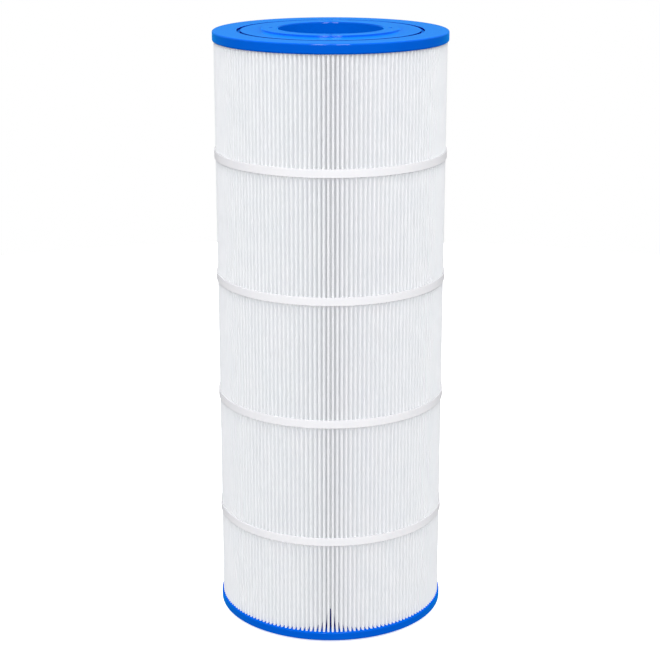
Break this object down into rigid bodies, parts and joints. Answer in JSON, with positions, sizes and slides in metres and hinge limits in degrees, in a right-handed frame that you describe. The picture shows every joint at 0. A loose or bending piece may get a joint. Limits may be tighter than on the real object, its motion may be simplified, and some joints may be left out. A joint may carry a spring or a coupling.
{
  "type": "pleated filter cartridge",
  "caption": "Tall round water-filter cartridge: white pleated media round a windowed core, held by white straps between open blue end caps.",
  "frame": {"origin": "on the cartridge's axis, in the plane of the lower end cap's hub face, on which it stands", "axes": "+Z along the cartridge's axis, from the bottom end cap to the top one; -Y is the front as pictured, and the media's glued seam is at the back, on +Y"},
  "size_m": [0.227, 0.227, 0.5905],
  "materials": {
    "cap_urethane": "gloss",
    "filter_fabric": "matte",
    "strap_plastic": "satin",
    "hot_melt": "satin",
    "core_plastic": "satin"
  },
  "bodies": {
    "root": {"top_end_cap": "cap_urethane", "bottom_end_cap": "cap_urethane", "pleated_media": "filter_fabric", "seam_bead": "hot_melt", "strap_1": "strap_plastic", "strap_2": "strap_plastic", "strap_3": "strap_plastic", "strap_4": "strap_plastic", "strap_adhesive_1": "hot_melt", "strap_adhesive_2": "hot_melt", "strap_adhesive_3": "hot_melt", "strap_adhesive_4": "hot_melt", "core_section_1": "core_plastic", "core_section_2": "core_plastic", "core_section_3": "core_plastic", "core_section_4": "core_plastic", "core_section_5": "core_plastic"}
  },
  "joints": []
}
